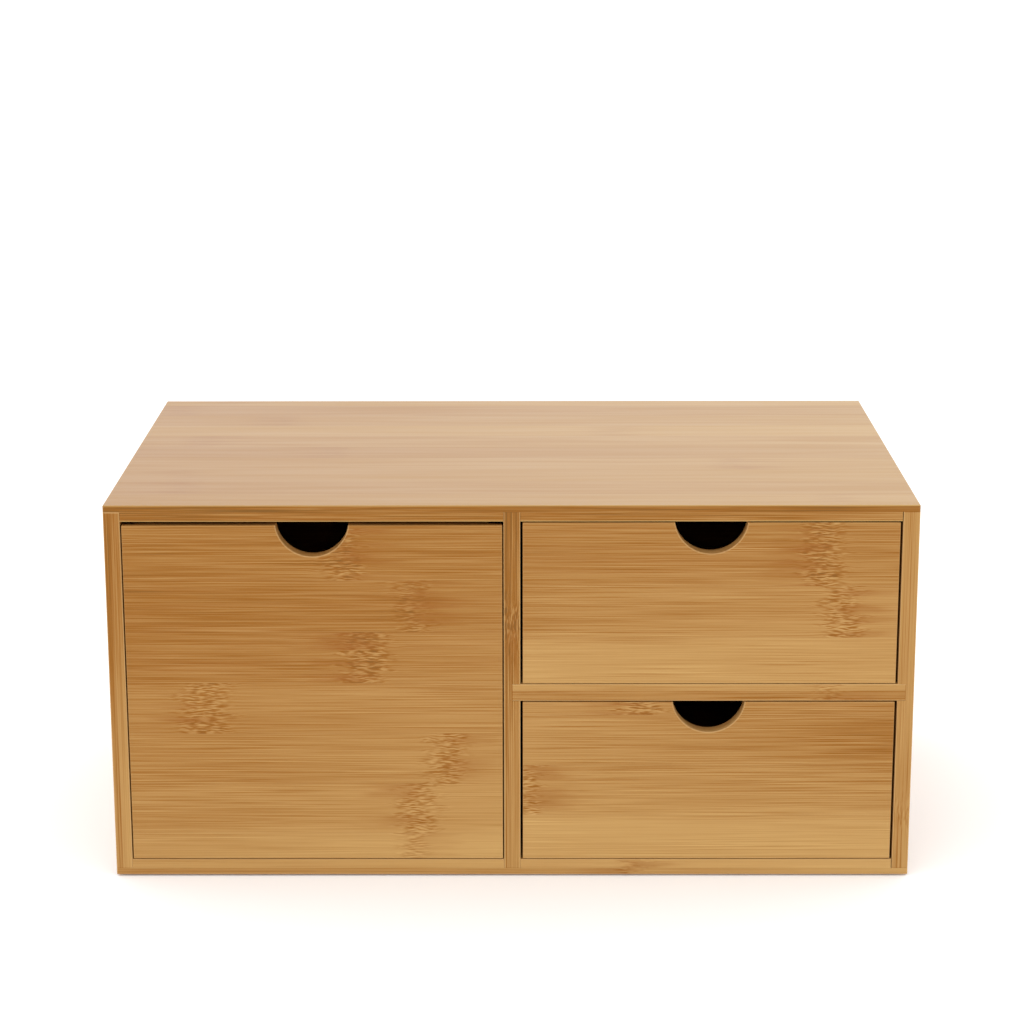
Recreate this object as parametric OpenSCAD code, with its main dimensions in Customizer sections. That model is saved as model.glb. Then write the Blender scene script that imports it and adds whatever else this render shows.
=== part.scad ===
// Desktop mini drawers: a bamboo case with one tall drawer on the left and two stacked drawers on
// the right. The boards are rabbeted, housed and grooved into each other, and each drawer is a
// pinned box that slides on the board under it. Millimetres, +Z up, the front faces -Y, and the
// origin is in the middle of the ground that the case stands on.

/* [Case] */
// Width of the case over its side boards
case_w = 350; // [300:1:420]
// Depth of the case from its front edges to its rear edges
case_d = 218; // [160:1:280]
// Height of the case from the underside of the bottom board to the top
case_h = 168.4; // [150:0.1:220]
// Thickness of the case's boards
board_t = 7.2; // [6.4:0.1:9]
// Thickness of the shelf
shelf_t = 7.6; // [6.4:0.1:9]
// How far the divider stands to the right of the case's middle
divider_shift = 0.2; // [-20:0.1:20]
// Height of the lower right bay, from the bottom board up to the shelf
lower_bay_h = 73.4; // [60:0.1:85]

/* [Case joints] */
// Wood left outside each rabbet, dado and groove in the top, bottom and side boards
skin_t = 3; // [2:0.1:3.4]
// How deep the shelf is housed in the divider and in the right side board
shelf_seat = 3.5; // [2:0.1:3.6]
// Thickness of the back panel
back_t = 4; // [3:0.1:6]
// Distance from the rear edges of the case to the back panel
back_inset = 4; // [2:0.1:8]
// Gap between the right side board and the shoulders of its rabbets
shoulder_gap = 0.3; // [0:0.05:0.5]
// Gap left round a panel at the bottom of its grooves
panel_gap = 0.2; // [0.1:0.05:0.5]
// Radius of the eased edges of every board
edge_r = 0.4; // [0.2:0.1:0.8]

/* [Drawer boards] */
// Thickness of the drawer fronts
front_t = 7.2; // [6:0.1:9]
// Thickness of the front left in front of a drawer side
front_lip = 3.2; // [2.4:0.1:4]
// Thickness of the drawer sides
side_t = 6; // [5:0.1:7]
// Thickness of a side's end that laps over the drawer back
side_lap = 3; // [2:0.1:3.4]
// Thickness of the drawer backs
rear_t = 6; // [5:0.1:7]
// Thickness of the drawer bottoms
bottom_t = 3; // [2:0.1:4]
// How deep a drawer bottom reaches into its grooves
bottom_seat = 3; // [2:0.1:3.4]
// Height of a drawer bottom above the running edge of the sides
bottom_raise = 4; // [3:0.1:8]
// How far the sides end below the top edge of the front
side_drop = 3; // [1:0.1:8]

/* [Drawer gaps] */
// Gap at each side of the tall drawer
tall_side_gap = 0.5; // [0.3:0.05:1.5]
// Gap over the front of the tall drawer
tall_top_gap = 1.7; // [0.3:0.05:2.5]
// Gap at each side of the two right-hand drawers
right_side_gap = 1; // [0.3:0.05:1.5]
// Gap over the fronts of the two right-hand drawers
right_top_gap = 0.5; // [0.3:0.05:2.5]
// Gap under every drawer front
front_lift = 0.3; // [0.2:0.05:1]
// Gap between a closed drawer and the back panel
stop_gap = 0.3; // [0.2:0.05:1]

/* [Finger notches] */
// Radius of the half-round finger notches
notch_r = 15.8; // [12:0.1:18]
// Height of a notch's centre above the top edge of its front
notch_rise = 2; // [0:0.1:4]

/* [Pins] */
// Diameter of the brads in the drawer corners
pin_d = 1.2; // [0.8:0.1:1.4]
// Length of the brads
pin_len = 14; // [10:0.5:20]
// Radial clearance of a brad in its hole
pin_clear = 0.03; // [0.02:0.01:0.1]
// Distance from the ends of a drawer corner to its outer brads
pin_margin = 13; // [10:0.5:18]
// Brads in each corner of the tall drawer
tall_pins = 4; // [2:1:6]
// Brads in each corner of a right-hand drawer
right_pins = 2; // [2:1:4]

/* [Pads] */
// Diameter of the anti-slip pads
pad_d = 12; // [8:0.5:20]
// Thickness of the anti-slip pads
pad_t = 0.8; // [0.6:0.1:3]
// Distance from the edges of the case to the middle of a pad
pad_inset = 16; // [12:0.5:30]

/* [Hidden] */

bamboo = "#c08d4d";
bamboo_light = "#cf9f5f";
bamboo_thin = "#d6ad73";
rubber = "#3a3835";
steel = "#b9bcc0";

$fn = 48;
// How far a cut reaches past the face that it opens
over = 1;

// Depth of the rabbets, dadoes and grooves of the case
joint_depth = board_t - skin_t;

// Planes of the case
front_y = -case_d / 2;
rear_y = case_d / 2;
left_x = -case_w / 2;
right_x = case_w / 2;
base_z = pad_t;
top_z = base_z + case_h;
inner_left = left_x + board_t;
inner_right = right_x - board_t;
floor_z = base_z + board_t;
ceiling_z = top_z - board_t;
divider_left = divider_shift - board_t / 2;
divider_right = divider_left + board_t;
shelf_under = floor_z + lower_bay_h;
shelf_top = shelf_under + shelf_t;
// Front and rear faces of the back panel
panel_front = rear_y - back_inset - back_t;
panel_rear = rear_y - back_inset;

// The bays, each as [left, right, floor, ceiling]
tall_bay = [inner_left, divider_left, floor_z, ceiling_z];
upper_bay = [divider_right, inner_right, shelf_top, ceiling_z];
lower_bay = [divider_right, inner_right, floor_z, shelf_under];

// A drawer as [left, floor, width, height of its front's top edge, brads in each corner]
function drawer_in(bay, side_gap, top_gap, pins) =
    [bay[0] + side_gap, bay[2], bay[1] - bay[0] - 2 * side_gap, bay[3] - bay[2] - top_gap, pins];
tall = drawer_in(tall_bay, tall_side_gap, tall_top_gap, tall_pins);
upper = drawer_in(upper_bay, right_side_gap, right_top_gap, right_pins);
lower = drawer_in(lower_bay, right_side_gap, right_top_gap, right_pins);
function drawer_w(d) = d[2];
function drawer_h(d) = d[3];
function side_h(d) = drawer_h(d) - side_drop;

// Length of every drawer, from its front face to its rear face
drawer_len = panel_front - stop_gap - front_y;
// Where the brads stand behind the front face: in the front's tongue and in the drawer back
front_pin_y = (front_lip + front_t) / 2;
rear_pin_y = drawer_len - rear_t / 2;
function pin_z(d) =
    [for (i = [0 : d[4] - 1]) pin_margin + i * (side_h(d) - 2 * pin_margin) / (d[4] - 1)];

// ---- shapes ----

// Rectangle from the origin with quarter-round corners
module round_rect(w, h, r) {
    translate([r, 0]) square([w - 2 * r, h]);
    translate([0, r]) square([w, h - 2 * r]);
    for (x = [r, w - r], y = [r, h - r]) translate([x, y]) circle(r);
}

// Board from the origin to size, with every edge eased
module eased_board(size) {
    intersection() {
        linear_extrude(size.z) round_rect(size.x, size.y, edge_r);
        rotate([90, 0, 90]) linear_extrude(size.x) round_rect(size.y, size.z, edge_r);
        translate([0, size.y, 0]) rotate([90, 0, 0])
            linear_extrude(size.y) round_rect(size.x, size.z, edge_r);
    }
}

// Board between two opposite corners
module board_between(low, high) {
    translate(low) eased_board(high - low);
}

// Square cut between two opposite corners
module cut_between(low, high) {
    translate(low) cube(high - low);
}

// Board whose two ends along one axis are let into other boards, so they stay square
module let_in_board(low, high, axis) {
    aside = over * ([1, 1, 1] - axis);
    intersection() {
        board_between(low - edge_r * axis, high + edge_r * axis);
        cut_between(low - aside, high + aside);
    }
}

// ---- case ----

// Rabbets, divider dado and back groove in the underside of the top board, down to the skin
module top_joints() {
    low_z = ceiling_z - over;
    high_z = ceiling_z + joint_depth;
    cut_between([left_x - over, front_y - over, low_z], [inner_left, rear_y + over, high_z]);
    cut_between([inner_right - shoulder_gap, front_y - over, low_z],
                [right_x + over, rear_y + over, high_z]);
    cut_between([divider_left, front_y - over, low_z], [divider_right, panel_front, high_z]);
    cut_between([left_x, panel_front, low_z], [right_x, panel_rear, high_z]);
}

module top_board() {
    color(bamboo_light) difference() {
        board_between([left_x, front_y, ceiling_z], [right_x, rear_y, top_z]);
        top_joints();
    }
}

// The bottom board has the same joints, turned over about the middle of the case's height
module bottom_board() {
    mid_z = (base_z + top_z) / 2;
    color(bamboo) difference() {
        board_between([left_x, front_y, base_z], [right_x, rear_y, floor_z]);
        translate([0, 0, mid_z]) mirror([0, 0, 1]) translate([0, 0, -mid_z]) top_joints();
    }
}

// Upright board from skin to skin, between two planes in X and back to a plane in Y
module upright(x0, x1, y1) {
    let_in_board([x0, front_y, base_z + skin_t], [x1, y1, top_z - skin_t], [0, 0, 1]);
}

// Groove for the back panel, between two planes in X
module panel_groove(x0, x1) {
    cut_between([x0, panel_front, base_z], [x1, panel_rear, top_z]);
}

// Dado for the shelf, between two planes in X, stopped at the back panel
module shelf_dado(x0, x1) {
    cut_between([x0, front_y - over, shelf_under], [x1, panel_front, shelf_top]);
}

module left_side_board() {
    color(bamboo) difference() {
        upright(left_x, inner_left, rear_y);
        panel_groove(inner_left - joint_depth, inner_left + over);
    }
}

module right_side_board() {
    color(bamboo) difference() {
        upright(inner_right, right_x, rear_y);
        panel_groove(inner_right - over, inner_right + joint_depth);
        shelf_dado(inner_right - over, inner_right + shelf_seat);
    }
}

module centre_divider() {
    color(bamboo) difference() {
        upright(divider_left, divider_right, panel_front);
        shelf_dado(divider_right - shelf_seat, divider_right + over);
    }
}

module shelf_board() {
    color(bamboo_light) let_in_board([divider_right - shelf_seat, front_y, shelf_under],
                                     [inner_right + shelf_seat, panel_front, shelf_top], [1, 0, 0]);
}

module back_panel() {
    reach = joint_depth - panel_gap;
    color(bamboo_thin) cut_between([inner_left - reach, panel_front, floor_z - reach],
                                   [inner_right + reach, panel_rear, ceiling_z + reach]);
}

// Pad under one corner: -1 or 1 in X and in Y
module pad(x_sign, y_sign) {
    color(rubber) translate([x_sign * (right_x - pad_inset), y_sign * (rear_y - pad_inset), 0])
        cylinder(d = pad_d, h = pad_t);
}

// ---- drawers, each drawn from its front left bottom corner ----

// Moves a drawer's piece into its bay
module in_bay(d) {
    translate([d[0], front_y, d[1]]) children();
}

// Holes or brads along X at one end of a drawer, from the left or the right face inwards
module pin_row(d, y, r, length) {
    for (z = pin_z(d)) {
        translate([0, y, z]) rotate([0, 90, 0]) cylinder(r = r, h = length);
        translate([drawer_w(d) - length, y, z]) rotate([0, 90, 0]) cylinder(r = r, h = length);
    }
}

module pin_holes(d) {
    for (y = [front_pin_y, rear_pin_y]) pin_row(d, y, pin_d / 2 + pin_clear, pin_len);
}

// Slot for the drawer bottom, all round the drawer
module bottom_slot(d) {
    cut_between([side_t - bottom_seat, front_t - bottom_seat, bottom_raise],
                [drawer_w(d) - side_t + bottom_seat, drawer_len - rear_t + bottom_seat,
                 bottom_raise + bottom_t]);
}

// Half-round cutter for the finger notch, flared by the eased edge at both faces
module notch_cutter(d) {
    translate([drawer_w(d) / 2, 0, drawer_h(d) + notch_rise]) rotate([-90, 0, 0]) {
        translate([0, 0, -over]) cylinder(r = notch_r, h = front_t + 2 * over, $fn = 96);
        cylinder(r1 = notch_r + edge_r, r2 = notch_r, h = edge_r, $fn = 96);
        translate([0, 0, front_t - edge_r])
            cylinder(r1 = notch_r, r2 = notch_r + edge_r, h = edge_r, $fn = 96);
    }
}

module drawer_front(d) {
    color(bamboo_light) in_bay(d) difference() {
        board_between([0, 0, front_lift], [drawer_w(d), front_t, drawer_h(d)]);
        // Rabbets for the sides
        cut_between([-over, front_lip, 0], [side_t, front_t + over, drawer_h(d) + over]);
        cut_between([drawer_w(d) - side_t, front_lip, 0],
                    [drawer_w(d) + over, front_t + over, drawer_h(d) + over]);
        bottom_slot(d);
        notch_cutter(d);
        pin_holes(d);
    }
}

module drawer_left_side(d) {
    color(bamboo) in_bay(d) difference() {
        board_between([0, front_lip, 0], [side_t, drawer_len, side_h(d)]);
        rear_rabbet(d);
        // The slot runs out at both ends, behind the front's lip and the drawer back
        cut_between([side_t - bottom_seat, front_lip - over, bottom_raise],
                    [side_t + over, drawer_len - rear_t + bottom_seat, bottom_raise + bottom_t]);
        pin_holes(d);
    }
}

// Rabbet in the left side for the drawer back
module rear_rabbet(d) {
    cut_between([side_lap, drawer_len - rear_t, -over],
                [side_t + over, drawer_len + over, drawer_h(d)]);
}

// The right side is the left one mirrored about the middle of the drawer
module drawer_right_side(d) {
    translate([2 * d[0] + drawer_w(d), 0, 0]) mirror([1, 0, 0]) drawer_left_side(d);
}

module drawer_back(d) {
    color(bamboo) in_bay(d) difference() {
        board_between([side_lap, drawer_len - rear_t, 0],
                      [drawer_w(d) - side_lap, drawer_len, side_h(d)]);
        bottom_slot(d);
        pin_holes(d);
    }
}

module drawer_bottom(d) {
    inset = bottom_seat - panel_gap;
    color(bamboo_thin) in_bay(d)
        cut_between([side_t - inset, front_t - inset, bottom_raise],
                    [drawer_w(d) - side_t + inset, drawer_len - rear_t + inset,
                     bottom_raise + bottom_t]);
}

module drawer_pins(d) {
    color(steel) in_bay(d)
        for (y = [front_pin_y, rear_pin_y]) pin_row(d, y, pin_d / 2, pin_len);
}

// ---- nodes ----

top_board();
bottom_board();
left_side_board();
right_side_board();
centre_divider();
shelf_board();
back_panel();
pad(-1, -1);  // pad_front_left
pad(1, -1);  // pad_front_right
pad(-1, 1);  // pad_rear_left
pad(1, 1);  // pad_rear_right
drawer_front(tall);  // tall_drawer_front
drawer_left_side(tall);  // tall_drawer_left_side
drawer_right_side(tall);  // tall_drawer_right_side
drawer_back(tall);  // tall_drawer_back
drawer_bottom(tall);  // tall_drawer_bottom
drawer_pins(tall);  // tall_drawer_pins
drawer_front(upper);  // upper_drawer_front
drawer_left_side(upper);  // upper_drawer_left_side
drawer_right_side(upper);  // upper_drawer_right_side
drawer_back(upper);  // upper_drawer_back
drawer_bottom(upper);  // upper_drawer_bottom
drawer_pins(upper);  // upper_drawer_pins
drawer_front(lower);  // lower_drawer_front
drawer_left_side(lower);  // lower_drawer_left_side
drawer_right_side(lower);  // lower_drawer_right_side
drawer_back(lower);  // lower_drawer_back
drawer_bottom(lower);  // lower_drawer_bottom
drawer_pins(lower);  // lower_drawer_pins
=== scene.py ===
# %% [markdown]
# # A bamboo drawer chest, dressed for its picture
#
# The pieces of the chest are already built: every board, drawer, pad and brad comes in at its real
# size and stays where it is. What is left is the finish. Laminated bamboo is a figure that runs
# right through the wood. A flat picture of it could be wrapped round each board, but it would break
# at every edge and show stripes on end grain. So nearly all of this lesson is about one solid
# texture, set into each board along its own grain.

# %% Load the pieces
import math

import bpy
import numpy as np
from mathutils import Matrix, Vector


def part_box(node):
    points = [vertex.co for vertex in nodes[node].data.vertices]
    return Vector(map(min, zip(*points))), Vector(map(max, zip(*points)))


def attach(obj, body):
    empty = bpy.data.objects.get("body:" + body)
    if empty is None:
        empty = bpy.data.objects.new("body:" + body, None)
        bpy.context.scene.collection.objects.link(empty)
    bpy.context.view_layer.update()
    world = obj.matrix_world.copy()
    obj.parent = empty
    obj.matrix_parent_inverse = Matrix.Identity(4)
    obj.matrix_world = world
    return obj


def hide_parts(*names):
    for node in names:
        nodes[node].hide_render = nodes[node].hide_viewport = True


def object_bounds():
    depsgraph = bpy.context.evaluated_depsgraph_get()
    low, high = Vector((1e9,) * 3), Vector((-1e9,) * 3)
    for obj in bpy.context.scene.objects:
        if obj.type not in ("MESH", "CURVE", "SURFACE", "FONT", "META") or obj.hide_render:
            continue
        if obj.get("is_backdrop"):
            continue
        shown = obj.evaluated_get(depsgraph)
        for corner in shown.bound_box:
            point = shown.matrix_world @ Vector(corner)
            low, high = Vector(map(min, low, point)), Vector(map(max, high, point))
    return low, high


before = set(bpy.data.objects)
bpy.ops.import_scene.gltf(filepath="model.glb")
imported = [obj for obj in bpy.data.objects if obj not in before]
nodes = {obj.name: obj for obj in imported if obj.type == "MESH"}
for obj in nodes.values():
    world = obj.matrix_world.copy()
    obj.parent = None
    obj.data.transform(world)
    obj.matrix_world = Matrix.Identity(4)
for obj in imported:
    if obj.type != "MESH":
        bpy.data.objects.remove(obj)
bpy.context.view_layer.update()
MM = 0.001
PER_METRE = 1000.0
scene = bpy.context.scene

# %% [markdown]
# ## The camera
#
# The chest is seen from a little more than a metre in front and nearly half a metre up, with a
# long lens. A short lens close by would splay the uprights, while this one keeps them nearly
# parallel. The place is measured from the chest's own front and base, so it follows the pieces.

# %% Camera
LENS_MM = 94.2
SENSOR_MM = 36.0
NEAREST_SEEN = 0.01
EYE_RIGHT, EYE_FRONT, EYE_UP = 4.6 * MM, 1110.9 * MM, 446.5 * MM
LOOK_DOWN = math.radians(14.196)
LOOK_LEFT = math.radians(0.222)
ROLL = math.radians(-0.099)
BASE_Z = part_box("bottom_board")[0].z
FRONT_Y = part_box("bottom_board")[0].y

camera = bpy.data.objects.new("camera", bpy.data.cameras.new("camera"))
scene.collection.objects.link(camera)
camera.data.lens = LENS_MM
camera.data.sensor_width = SENSOR_MM
camera.data.clip_start = NEAREST_SEEN
camera.location = (EYE_RIGHT, FRONT_Y - EYE_FRONT, BASE_Z + EYE_UP)
turn = Matrix.Rotation(LOOK_LEFT, 4, "Z") @ Matrix.Rotation(math.pi / 2 - LOOK_DOWN, 4, "X")
camera.rotation_euler = (turn @ Matrix.Rotation(ROLL, 4, "Z")).to_euler()
scene.camera = camera
print("camera at", [round(v, 3) for v in camera.location])

# %% [markdown]
# ## A short way to wire nodes
#
# A material is a small graph of nodes. Wiring one by hand takes three lines per node: make it,
# set it, link it. This helper does the three in one call and gives back the output, so the rest
# reads like arithmetic.

# %% Wiring helper
COLUMN_STEP = 180


class Wiring:
    """Adds nodes to one node tree. Each method gives back the output of the node it made."""

    def __init__(self, tree):
        self.tree = tree

    def feed(self, socket, value):
        """Links an output to the socket, or sets the socket to a plain value."""
        if isinstance(value, bpy.types.NodeSocket):
            self.tree.links.new(value, socket)
        else:
            socket.default_value = value

    def fill(self, node, feeds):
        """Feeds the inputs of a node, which are given by name or place."""
        for name, value in feeds.items():
            self.feed(node.inputs[name], value)

    def node(self, kind, feeds, **settings):
        """One node of that kind, with its settings set and its inputs fed."""
        made = self.tree.nodes.new("ShaderNode" + kind)
        made.location = (COLUMN_STEP * len(self.tree.nodes), 0)
        for name, value in settings.items():
            setattr(made, name, value)
        self.fill(made, feeds)
        return made

    def calc(self, operation, *values):
        """A Math node on one, two or three numbers."""
        return self.node("Math", dict(enumerate(values)), operation=operation).outputs[0]

    def vector(self, operation, first, second):
        """A Vector Math node on two vectors."""
        return self.node("VectorMath", {0: first, 1: second}, operation=operation).outputs[0]

    def join(self, x, y, z):
        """A vector from three numbers."""
        return self.node("CombineXYZ", {0: x, 1: y, 2: z}).outputs[0]

    def split(self, vector):
        """The three numbers of a vector."""
        return list(self.node("SeparateXYZ", {0: vector}).outputs)

    def object_mm(self):
        """The point in the object's own axes, in millimetres."""
        place = self.node("TexCoord", {}).outputs["Object"]
        feeds = {0: place, "Scale": PER_METRE}
        return self.node("VectorMath", feeds, operation="SCALE").outputs[0]

    def ease(self, value, start, end, low=0.0, high=1.0):
        """A soft step: low where value is at start, high where it is at end."""
        feeds = {"Value": value, "From Min": start, "From Max": end, "To Min": low, "To Max": high}
        return self.node("MapRange", feeds, interpolation_type="SMOOTHSTEP").outputs[0]

    def noise(self, point, sizes, detail=0.0, roughness=0.5):
        """Cloudy noise between -0.5 and 0.5, whose lumps have these sizes along x, y and z."""
        shrunk = self.vector("DIVIDE", point, sizes)
        feeds = {"Vector": shrunk, "Scale": 1.0, "Detail": detail, "Roughness": roughness}
        return self.calc("SUBTRACT", self.node("TexNoise", feeds).outputs[0], 0.5)

    def chance(self, vector):
        """Three random numbers, the same wherever the vector is the same."""
        made = self.node("TexWhiteNoise", {"Vector": vector}, noise_dimensions="3D")
        return made.outputs["Color"]

    def mix(self, share, first, second, blend="MIX"):
        """A colour that goes from the first to the second, or to the two blended, as share goes
        from 0 to 1. Places 6, 7 and 2 are the colour sockets of a Mix node."""
        return self.node("Mix", {0: share, 6: first, 7: second}, data_type="RGBA",
                         blend_type=blend).outputs[2]

    def bump(self, height, strength, depth):
        """A normal that leans as if the surface rose and fell with the height."""
        feeds = {"Strength": strength, "Distance": depth, "Height": height}
        return self.node("Bump", feeds).outputs[0]

    def group(self, tree, feeds):
        """The named outputs of a node group that is placed here."""
        return self.node("Group", feeds, node_tree=tree).outputs


print("wiring helper ready")

# %% [markdown]
# ## The surroundings
#
# A white studio lights the chest from all sides. One even white would do, but this one is brighter
# behind the chest than in front. The lacquered top board, which is seen at a flat angle, mirrors
# that side and gets its pale sheen from it.

# %% Surroundings
WORLD_FRONT, WORLD_BACK = 1.0, 1.5
WHITE = (1.0, 1.0, 1.0, 1.0)

scene.view_settings.view_transform = "Standard"
world = bpy.data.worlds.new("white studio")
scene.world = world
world.use_nodes = True
wire = Wiring(world.node_tree)
backward = wire.split(wire.node("TexCoord", {}).outputs["Generated"])[1]
strength = wire.node("MapRange", {"Value": backward, "From Min": -1.0, "To Min": WORLD_FRONT,
                                  "To Max": WORLD_BACK}).outputs[0]
wire.fill(world.node_tree.nodes["Background"], {"Color": WHITE, "Strength": strength})
print("surroundings:", WORLD_FRONT, "in front,", WORLD_BACK, "behind")

# %% [markdown]
# ## The soft box
#
# A wide soft box hangs overhead, in front and a little to the left. A bare bulb or the sun would
# draw a hard line under every edge. A lamp wider than the chest leaves soft, short shadows.

# %% Soft box
LAMP_PLACE = (-0.6, -1.1, 1.5)
LAMP_AIM = (0.0, 0.0, 0.08)
LAMP_SIZE, LAMP_WATTS = 1.4, 4.0

lamp = bpy.data.lights.new("soft_box", "AREA")
lamp.size = LAMP_SIZE
lamp.energy = LAMP_WATTS
soft_box = bpy.data.objects.new("soft_box", lamp)
soft_box.location = LAMP_PLACE
aim = Vector(LAMP_AIM) - Vector(LAMP_PLACE)
soft_box.rotation_euler = aim.to_track_quat("-Z", "Y").to_euler()
scene.collection.objects.link(soft_box)
print("soft box:", LAMP_SIZE, "m wide,", LAMP_WATTS, "W")

# %% [markdown]
# ## The floor
#
# The chest stands on a pale sheet that sends light back up on to the drawer fronts. It glows a
# little by itself, like the lit table that goods are pictured on, so shadows on it stay pale. A
# round sheet has no corner to show, and it reaches far enough to fill the view up to the horizon.

# %% Floor
FLOOR_RADIUS = 60.0
FLOOR_SIDES = 96
FLOOR_COLOUR = (0.96, 0.96, 0.96, 1.0)
FLOOR_GLOW = 0.10


def disc_sheet(name, radius, sides):
    """A flat disc at height 0. Corner k is at angle 2 pi k / sides on a circle of that radius."""
    angle = np.linspace(0.0, 2 * np.pi, sides, endpoint=False)
    ring = np.stack([radius * np.cos(angle), radius * np.sin(angle), 0 * angle], axis=1)
    mesh = bpy.data.meshes.new(name)
    mesh.from_pydata(ring.tolist(), [], [list(range(sides))])
    sheet = bpy.data.objects.new(name, mesh)
    scene.collection.objects.link(sheet)
    return sheet


def new_material(name):
    """An empty material: itself, the wiring of its nodes, and its shader."""
    material = bpy.data.materials.new(name)
    material.use_nodes = True
    return material, Wiring(material.node_tree), material.node_tree.nodes["Principled BSDF"]


floor = disc_sheet("studio_floor", FLOOR_RADIUS, FLOOR_SIDES)
paint, wire, shader = new_material("studio floor white")
wire.fill(shader, {"Base Color": FLOOR_COLOUR, "Roughness": 1.0, "Specular IOR Level": 0.0,
                   "Emission Color": WHITE, "Emission Strength": FLOOR_GLOW})
floor.data.materials.append(paint)
floor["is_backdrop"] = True
print("floor radius:", FLOOR_RADIUS, "m")

# %% [markdown]
# ## How a bamboo board is laid up
#
# A bamboo board isn't sawn from a trunk. Strips about 23 mm wide are planed from the thin wall
# of the stem and glued side by side, and two such layers are pressed on each other. So the board
# shows straight bands, each from another stem, with a hair of glue between them. Each strip could
# be a mesh of its own, but a board comes as one solid, so its strips are in the texture only.
#
# The texture works in millimetres in the board's own grain frame: x along the grain, y across
# the strips, z through the thickness. The group says which strip a point is in, draws three
# random numbers for that strip, and marks the glue lines. All boards share it as a node group,
# so a change is made in one place.

# %% Group: strip layout
STRIP_W = 23.15
SEAM_SHARP, SEAM_SOFT = 0.05, 0.42
GLUE_SHARP, GLUE_SOFT = 0.05, 0.25
CORE_SHIFT = 0.5
STRIP_SLIDE = 700.0


def node_group(name, inputs, outputs):
    """An empty shader group with sockets that are listed by kind: its wiring, its inputs and its
    output node."""
    tree = bpy.data.node_groups.new(name, "ShaderNodeTree")
    for side, sockets in (("INPUT", inputs), ("OUTPUT", outputs)):
        for kind, labels in sockets.items():
            for label in labels:
                tree.interface.new_socket(label, in_out=side, socket_type="NodeSocket" + kind)
    return Wiring(tree), tree.nodes.new("NodeGroupInput").outputs, tree.nodes.new("NodeGroupOutput")


wire, given, result = node_group(
    "Strip layout",
    {"Vector": ["Point"], "Float": ["First seam", "Glue line", "Seed"]},
    {"Float": ["Row", "Rows up", "Face", "Lines"], "Color": ["Chance"],
     "Vector": ["Strip point"]})
along, across, deep = wire.split(given["Point"])
face = wire.calc("GREATER_THAN", deep, given["Glue line"])
rows_up = wire.calc("DIVIDE", wire.calc("SUBTRACT", across, given["First seam"]), STRIP_W)
rows_up = wire.calc("MULTIPLY_ADD", wire.calc("SUBTRACT", 1.0, face), CORE_SHIFT, rows_up)
row = wire.calc("FLOOR", rows_up)
from_middle = wire.calc("ABSOLUTE", wire.calc("SUBTRACT", wire.calc("FRACT", rows_up), 0.5))
from_seam = wire.calc("MULTIPLY", wire.calc("SUBTRACT", 0.5, from_middle), STRIP_W)
from_glue = wire.calc("ABSOLUTE", wire.calc("SUBTRACT", deep, given["Glue line"]))
seam = wire.ease(from_seam, SEAM_SHARP, SEAM_SOFT, 1.0, 0.0)
glue = wire.ease(from_glue, GLUE_SHARP, GLUE_SOFT, 1.0, 0.0)
chance = wire.chance(wire.join(row, given["Seed"], face))
slide = wire.calc("MULTIPLY_ADD", wire.split(chance)[0], STRIP_SLIDE, along)
wire.fill(result, {
    "Row": row, "Rows up": rows_up, "Face": face, "Lines": wire.calc("MAXIMUM", seam, glue),
    "Chance": chance, "Strip point": wire.join(slide, across, deep)})
STRIP_LAYOUT = wire.tree
print("group:", STRIP_LAYOUT.name, "strip width", STRIP_W, "mm")

# %% [markdown]
# ## Knuckles
#
# Every 200 to 300 mm a bamboo stem has a node, a solid wall inside the tube. Planed through, it
# leaves a column as wide as the strip where the fibres swirl and break into short bright and dark
# dashes, with a rusty stain to one side. Noise alone would scatter such marks anywhere, but a
# strip has one only where its stem had a wall. So this group marks the column and its stain at a
# given place. A little noise is added to the distance, so the column's outline is ragged.

# %% Group: knuckle
RAGGED = (9.0, 1.5, 1.5)
RAG_REACH = 15.0
CORE_FADE = 6.0
SWIRL_NEAR, SWIRL_FAR = -2.0, 14.0
STAIN_START, STAIN_END = 7.0, 30.0

wire, given, result = node_group(
    "Knuckle",
    {"Vector": ["Strip point"], "Float": ["Along", "Place", "Width", "Lean"]},
    {"Float": ["Core", "Swirl", "Stain"]})
rag = wire.noise(given["Strip point"], RAGGED)
offset = wire.calc("SUBTRACT", given["Along"], given["Place"])
offset = wire.calc("MULTIPLY_ADD", rag, RAG_REACH, offset)
half = wire.calc("MULTIPLY", given["Width"], 0.5)
outside = wire.calc("SUBTRACT", wire.calc("ABSOLUTE", offset), half)
core = wire.ease(outside, -CORE_FADE, CORE_FADE, 1.0, 0.0)
aside = wire.calc("MULTIPLY", offset, given["Lean"])
rise = wire.ease(aside, -STAIN_START, STAIN_START)
fall = wire.ease(aside, STAIN_START, STAIN_END, 1.0, 0.0)
wire.fill(result, {
    "Core": core, "Swirl": wire.ease(outside, SWIRL_NEAR, SWIRL_FAR, 1.0, 0.0),
    "Stain": wire.calc("MULTIPLY", rise, fall)})
KNUCKLE = wire.tree
print("group:", KNUCKLE.name)

# %% [markdown]
# ## A figure drawn by chance
#
# Each strip has its own knuckles, tone and rust. They could be listed strip by strip, but a chest
# has more than a hundred strips, and on most boards any bamboo will do. There the three random
# numbers of the strip decide: where its knuckles are, how wide and how strong, to which side the
# stain lies, and how light and how rusty the strip is.

# %% Group: figure by chance
WIDTH_LEAST, WIDTH_SPREAD = 9.0, 8.0
STRENGTH_LEAST, STRENGTH_SPREAD = 0.5, 0.5
TONE_LEAST, TONE_SPREAD = -0.15, 0.3
RUST_MOST = 0.22

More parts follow.
